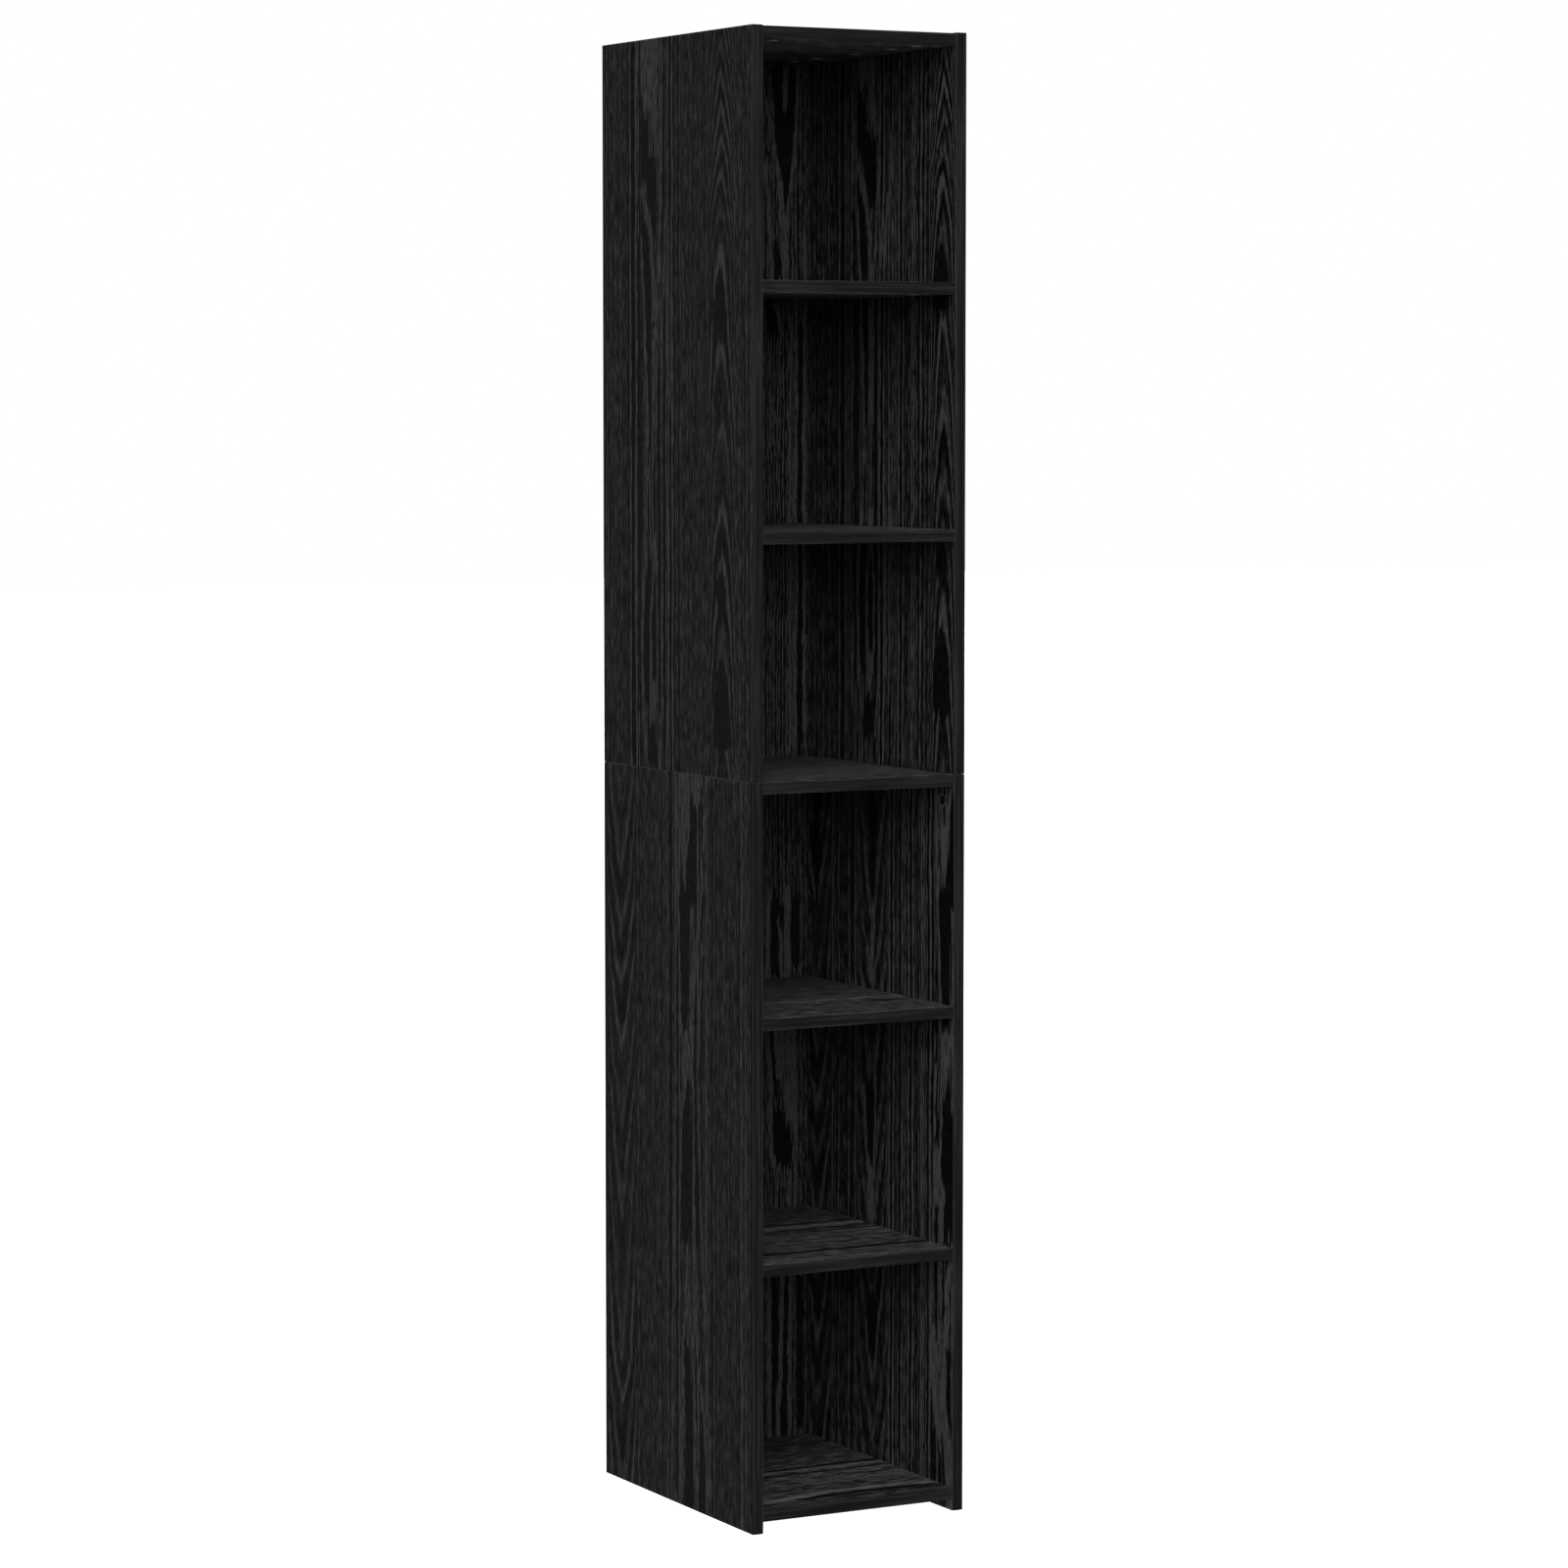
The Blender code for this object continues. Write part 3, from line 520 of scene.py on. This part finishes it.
# The back panels are painted much darker (shade 0.38 and 0.32): painted shade at the back of the compartments.
skin("upper_back_panel", black_oak(
    "upper_back_panel", 19, "z", across="x", raw_rear=True, shade=0.38, contrast=1.35, lines=580.0, fineness=1.7, gloss=0.04,
    light=[
        [(1.56, 0.248, 0.0043), (1.60, 0.247, 0.0050), (1.64, 0.243, 0.0032), (1.70, 0.237, 0.0025), (1.74, 0.228, 0.0022), (1.79, 0.219, 0.0014)],
        [(1.62, 0.2490, 0.0014), (1.67, 0.2550, 0.0018), (1.70, 0.2600, 0.0022), (1.74, 0.2630, 0.0018), (1.82, 0.266, 0.0014)],
        [(1.54, 0.2262, 0.0016), (1.62, 0.2250, 0.0016), (1.66, 0.2220, 0.0014), (1.70, 0.2190, 0.0018)],
        [(1.775, 0.2475, 0.0022), (1.83, 0.2470, 0.0043)],
        [(1.48, 0.2405, 0.0018), (1.51, 0.2380, 0.0018), (1.525, 0.2310, 0.0014)],
        [(0.94, 0.2620, 0.0016), (1.10, 0.2630, 0.0018), (1.18, 0.2640, 0.0017), (1.25, 0.2615, 0.0018), (1.36, 0.2630, 0.0016), (1.54, 0.2630, 0.0018)],
        [(0.94, 0.2760, 0.0012), (1.30, 0.2740, 0.0014), (1.62, 0.2760, 0.0014)],
        [(0.94, 0.2545, 0.0012), (1.36, 0.2540, 0.0012), (1.50, 0.2550, 0.0014)],
    ],
    dark=[
        [(1.645, 0.250, 0.003), (1.70, 0.249, 0.010), (1.76, 0.247, 0.014), (1.83, 0.245, 0.018)],
        [(0.94, 0.269, 0.0035), (1.50, 0.269, 0.0035)],
        [(1.485, 0.227, 0.009), (1.53, 0.224, 0.006)],
        [(1.56, 0.2365, 0.0055), (1.60, 0.2335, 0.003)],
    ],
    lined=((0, 0.85), (0.30, 0.85)), stripes=((0, 0.5), (0.262, 0.5), (0.270, 0.42), (0.30, 0.42))))
skin("lower_back_panel", black_oak(
    "lower_back_panel", 29, "z", across="x", raw_rear=True, shade=0.32, contrast=1.35, lines=580.0, fineness=1.7, gloss=0.04,
    light=[
        [(0.64, 0.2220, 0.0022), (0.70, 0.2215, 0.0026), (0.755, 0.2225, 0.0022)],
        [(0.64, 0.2415, 0.0020), (0.68, 0.2405, 0.0022), (0.715, 0.2375, 0.0018)],
        [(0.62, 0.2515, 0.0026), (0.70, 0.2500, 0.0030), (0.755, 0.2510, 0.0030)],
        [(0.395, 0.2320, 0.0030), (0.41, 0.2270, 0.0025), (0.45, 0.2250, 0.0022), (0.50, 0.2262, 0.0026), (0.53, 0.2235, 0.002), (0.60, 0.222, 0.0015)],
        [(0.51, 0.2385, 0.003), (0.53, 0.2385, 0.006), (0.60, 0.2380, 0.007)],
        [(0.45, 0.2500, 0.0015), (0.52, 0.2495, 0.0018), (0.60, 0.2490, 0.0015)],
        [(0.33, 0.2620, 0.0016), (0.44, 0.2625, 0.0022), (0.47, 0.2590, 0.0050), (0.60, 0.2590, 0.0050)],
        [(0.33, 0.2330, 0.0020), (0.37, 0.2355, 0.0020), (0.39, 0.2375, 0.0022)],
        [(0.33, 0.2530, 0.0022), (0.39, 0.2530, 0.0022)],
        [(0.03, 0.2230, 0.0024), (0.24, 0.2235, 0.0026), (0.30, 0.2235, 0.002)],
        [(0.03, 0.2365, 0.0024), (0.08, 0.2365, 0.0024), (0.12, 0.2395, 0.0024), (0.18, 0.2410, 0.0026), (0.24, 0.2435, 0.0024), (0.30, 0.2440, 0.002)],
        [(0.03, 0.2540, 0.0022), (0.12, 0.2530, 0.0024), (0.18, 0.2542, 0.0024), (0.22, 0.2555, 0.0022), (0.30, 0.2560, 0.0018)],
    ],
    dark=[
        [(0.395, 0.244, 0.012), (0.42, 0.243, 0.014), (0.46, 0.240, 0.011)],
        [(0.65, 0.2310, 0.0070), (0.74, 0.2330, 0.0100)],
        [(0.04, 0.2300, 0.0045), (0.24, 0.2325, 0.0060)],
        [(0.04, 0.2460, 0.0060), (0.24, 0.2500, 0.0035)],
        [(0.04, 0.2700, 0.0050), (0.24, 0.2690, 0.0040)],
        [(0.48, 0.2310, 0.0030), (0.52, 0.2320, 0.0030), (0.56, 0.2270, 0.002)],
        [(0.66, 0.2620, 0.0060), (0.75, 0.2620, 0.0060)],
    ],
    lined=((0, 0.85), (0.30, 0.85)), stripes=((0, 0.5), (0.262, 0.5), (0.270, 0.44), (0.30, 0.44))))

# Boards between the sides, with the grain crosswise: (distance from the middle, distance from the front, half width)
for name, seed, light, dark in (
    ("bottom_board", 31,
     [[(-0.13, 0.050, 0.003), (-0.10, 0.056, 0.008), (-0.06, 0.062, 0.008), (-0.02, 0.066, 0.003)],
      [(-0.04, 0.075, 0.002), (0.02, 0.073, 0.006), (0.08, 0.069, 0.006), (0.13, 0.063, 0.003)],
      [(-0.14, 0.197, 0.003), (0.14, 0.199, 0.003)]],
     [[(-0.14, 0.018, 0.0016), (0.14, 0.019, 0.0016)], [(-0.07, 0.050, 0.003), (-0.03, 0.053, 0.007), (0.01, 0.053, 0.003)],
      [(0.01, 0.057, 0.003), (0.06, 0.055, 0.008), (0.12, 0.050, 0.005)], [(-0.14, 0.036, 0.002), (0.14, 0.038, 0.003)], [(-0.14, 0.181, 0.003), (0.14, 0.183, 0.003)],
      [(-0.14, 0.211, 0.003), (0.14, 0.213, 0.003)], [(-0.14, 0.341, 0.003), (0.14, 0.342, 0.003)]]),
    ("lower_shelf_1", 37,
     [[(-0.14, 0.250, 0.004), (0.14, 0.252, 0.006)], [(-0.14, 0.030, 0.002), (0.14, 0.031, 0.002)]],
     [[(-0.14, 0.082, 0.005), (0.14, 0.084, 0.005)], [(-0.14, 0.208, 0.002), (0.14, 0.212, 0.003)],
      [(-0.14, 0.226, 0.003), (0.14, 0.231, 0.003)], [(-0.10, 0.270, 0.002), (0.14, 0.273, 0.004)]]),
    ("lower_shelf_2", 41,
     [[(-0.14, 0.150, 0.002), (0.14, 0.151, 0.002)]],
     [[(-0.14, 0.197, 0.003), (0.14, 0.198, 0.003)], [(0.07, 0.118, 0.004), (0.10, 0.118, 0.009), (0.12, 0.118, 0.006)]]),
    ("middle_board", 43, [], [[(-0.14, 0.235, 0.002), (0.14, 0.236, 0.003)]]),
    ("upper_shelf_1", 47, [], [[(-0.14, 0.200, 0.002), (0.14, 0.202, 0.003)]]),
    ("upper_shelf_2", 53, [], [[(-0.14, 0.150, 0.003), (0.14, 0.152, 0.002)]]),
    ("top_board", 59, [[(-0.14, 0.170, 0.003), (0.14, 0.166, 0.002)]], [[(-0.14, 0.250, 0.003), (0.14, 0.252, 0.004)]]),
):
    # Painted light: the boards are painted lighter (shade 1.58), which lightens their tops, and their undersides
    # lighter still, the top board's most.
    skin(name, black_oak(
        name, seed, "x", light=light, dark=dark, lined=((0, 0.6), (0.41, 0.6)), shade=1.58, lines=300.0,
        under_shade=4.0 if name == "top_board" else 3.0,
        contrast=1.0, raw_rear="shelf" not in name))


# -------------------------------------------------------------------- fittings
def cam_face(name, centre, axes, dark):
    """Zinc of a cam fitting, brushed round the cam's centre. dark blackens the face inside the rim."""
    g = Graph(name)
    place = {"x": g.x, "y": g.y, "z": g.z}
    a, b = (g.sub(place[axis], centre["xyz".index(axis)]) for axis in axes)
    radius = g.math("SQRT", g.fma(a, a, g.mul(b, b)))
    brushed = g.line(radius, 3.0, 5200.0, 2.0, 0.6)
    cloud = g.grain(g.x, g.y, g.z, 9, 420.0, 420.0, 3.0, 0.6)
    tone = g.fma(g.sub(brushed, 0.5), 0.5, g.fma(g.sub(cloud, 0.5), 0.7, 0.5))
    bright = g.ramp(tone, [(0.0, (0.52, 0.52, 0.51)), (0.5, (0.70, 0.70, 0.69)), (1.0, (0.88, 0.88, 0.87))])
    if dark:
        face = g.ramp(tone, [(0.0, (0.004, 0.004, 0.004)), (1.0, (0.014, 0.014, 0.014))])
        inside = g.step(radius, 0.0069, 0.0071, 1.0, 0.0)
        bright = g.blend(inside, bright, face)
    g.colour(bright)
    g.rough(g.fma(g.sub(cloud, 0.5), 0.25, 0.42))
    g.shader.inputs["Metallic"].default_value = 0.4
    g.shader.inputs["Specular IOR Level"].default_value = 0.1 if dark else 0.5
    g.bump(tone, 0.2, 0.00005)
    return g.material


for name in nodes:
    if "_fitting_" not in name:
        continue
    low, high = (Vector(corner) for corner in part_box(name))
    side = -1 if name.endswith("_left") else 1
    if name.startswith("seam_"):
        centre = (low.x, (low.y + high.y) / 2, low.z + 0.0072)
        axes = "yz"
    else:
        inner = high.x - 0.0072 if side < 0 else low.x + 0.0072
        centre = (inner, (low.y + high.y) / 2, low.z)
        axes = "xy"
    skin(name, cam_face(name + "_zinc", centre, axes, name.startswith("seam_")))


# ----------------------------------------------------------------- floor, light
def floor():
    bpy.ops.mesh.primitive_plane_add(size=60, location=(0, 0, 0))
    obj = bpy.context.object
    obj.name = "studio_floor"
    g = Graph("studio_floor_paint")
    cloud = g.grain(g.x, g.y, g.z, 2, 1.5, 1.5, 3.0)
    g.colour(g.ramp(cloud, [(0.0, 0.90), (1.0, 0.94)]))
    g.shader.inputs["Roughness"].default_value = 0.9
    g.shader.inputs["Specular IOR Level"].default_value = 0.1
    g.shader.inputs["Emission Color"].default_value = (1, 1, 1, 1)
    g.shader.inputs["Emission Strength"].default_value = 1.0
    obj.data.materials.append(g.material)
    obj.visible_glossy = False
    obj.visible_diffuse = False


def world():
    """White behind the object; round it, dim above the horizon and the floor's reflected light below it."""
    made = bpy.data.worlds.new("studio")
    scene.world = made
    made.use_nodes = True
    tree = made.node_tree
    tree.nodes.clear()
    out = tree.nodes.new("ShaderNodeOutputWorld")
    seen = tree.nodes.new("ShaderNodeBackground")
    seen.inputs[0].default_value = (1, 1, 1, 1)
    seen.inputs[1].default_value = 1.0
    fill = tree.nodes.new("ShaderNodeBackground")
    fill.inputs[0].default_value = (1, 1, 1, 1)
    place = tree.nodes.new("ShaderNodeTexCoord")
    split = tree.nodes.new("ShaderNodeSeparateXYZ")
    level = tree.nodes.new("ShaderNodeMapRange")
    level.interpolation_type = "SMOOTHSTEP"
    for socket, value in zip(list(level.inputs)[1:5], (-0.12, 0.02, 0.62, 0.06)):
        socket.default_value = value
    tree.links.new(place.outputs["Generated"], split.inputs[0])
    tree.links.new(split.outputs[2], level.inputs[0])
    kind = tree.nodes.new("ShaderNodeLightPath")
    gloss = tree.nodes.new("ShaderNodeMix")
    gloss.data_type = "FLOAT"
    gloss.inputs[3].default_value = 0.15
    tree.links.new(kind.outputs["Is Glossy Ray"], gloss.inputs[0])
    tree.links.new(level.outputs[0], gloss.inputs[2])
    tree.links.new(gloss.outputs[0], fill.inputs[1])
    mix = tree.nodes.new("ShaderNodeMixShader")
    tree.links.new(kind.outputs["Is Camera Ray"], mix.inputs[0])
    tree.links.new(fill.outputs[0], mix.inputs[1])
    tree.links.new(seen.outputs[0], mix.inputs[2])
    tree.links.new(mix.outputs[0], out.inputs[0])


def sun(name, left, height, strength):
    """A broad light, by how far to the left of the front and how high it stands, in degrees."""
    left, height = math.radians(left), math.radians(height)
    place = Vector((-math.sin(left) * math.cos(height), -math.cos(left) * math.cos(height), math.sin(height)))
    light = bpy.data.lights.new(name, "SUN")
    light.energy = strength
    light.angle = math.radians(30)
    obj = bpy.data.objects.new(name, light)
    obj.rotation_mode = "QUATERNION"
    obj.rotation_quaternion = (-place).to_track_quat("-Z", "Y")
    scene.collection.objects.link(obj)


floor()
world()
sun("low_key", 15, 10, 2.5)
sun("high_key", 15, 50, 1.6)
sun("side_key", 43, 27, 1.2)
sun("far_side_fill", -100, 25, 0.8)

camera = bpy.data.cameras.new("camera")
camera.lens = 113.33
camera.sensor_width = 36.0
camera.clip_end = 100.0
eye = bpy.data.objects.new("camera", camera)
eye.location = (-2.9616, -5.5117, 1.3937)
eye.rotation_euler = (math.radians(90 - 4.409), 0.0, math.radians(-28.283))
scene.collection.objects.link(eye)
scene.camera = eye

scene.view_settings.view_transform = "Standard"
scene.view_settings.look = "None"

bpy.context.view_layer.update()
